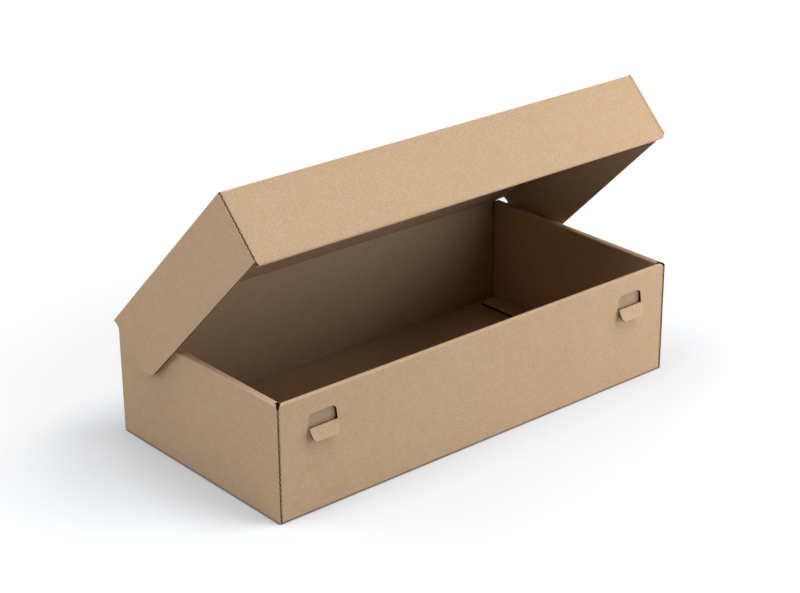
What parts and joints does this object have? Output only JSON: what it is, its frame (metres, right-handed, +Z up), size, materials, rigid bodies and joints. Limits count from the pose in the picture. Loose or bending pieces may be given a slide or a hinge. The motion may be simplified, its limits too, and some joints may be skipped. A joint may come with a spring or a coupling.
{
  "type": "collapsible storage box",
  "caption": "Hinged-lid storage box folded from one corrugated sheet: rolled double walls, a lid with a rolled front flap, and fold-out lock tabs in the front wall.",
  "frame": {"origin": "middle of the tray's underside, on the surface that the box stands on", "axes": "+X to the right along the width, +Y to the back wall that carries the lid, +Z up"},
  "size_m": [0.5966, 0.2981, 0.3513],
  "materials": {
    "kraft_board": "uncoated brown kraft liner on single-wall corrugated board"
  },
  "bodies": {
    "tray": {"tray": "kraft_board"},
    "lid": {"lid": "kraft_board"},
    "left_lock_tab": {"left_lock_tab": "kraft_board"},
    "right_lock_tab": {"right_lock_tab": "kraft_board"}
  },
  "joints": [
    {"name": "lid_hinge", "type": "hinge", "parent": "tray", "child": "lid", "pos_m": [0, 0.1421, 0.13925], "axis": [-1, 0, 0], "range_deg": [-44.7, 135.3]},
    {"name": "left_tab_crease", "type": "hinge", "parent": "tray", "child": "left_lock_tab", "pos_m": [-0.2307, -0.145, 0.0983], "axis": [1, 0, 0], "range_deg": [-159, 0]},
    {"name": "right_tab_crease", "type": "hinge", "parent": "tray", "child": "right_lock_tab", "pos_m": [0.2307, -0.145, 0.0983], "axis": [1, 0, 0], "range_deg": [-159, 0]}
  ]
}
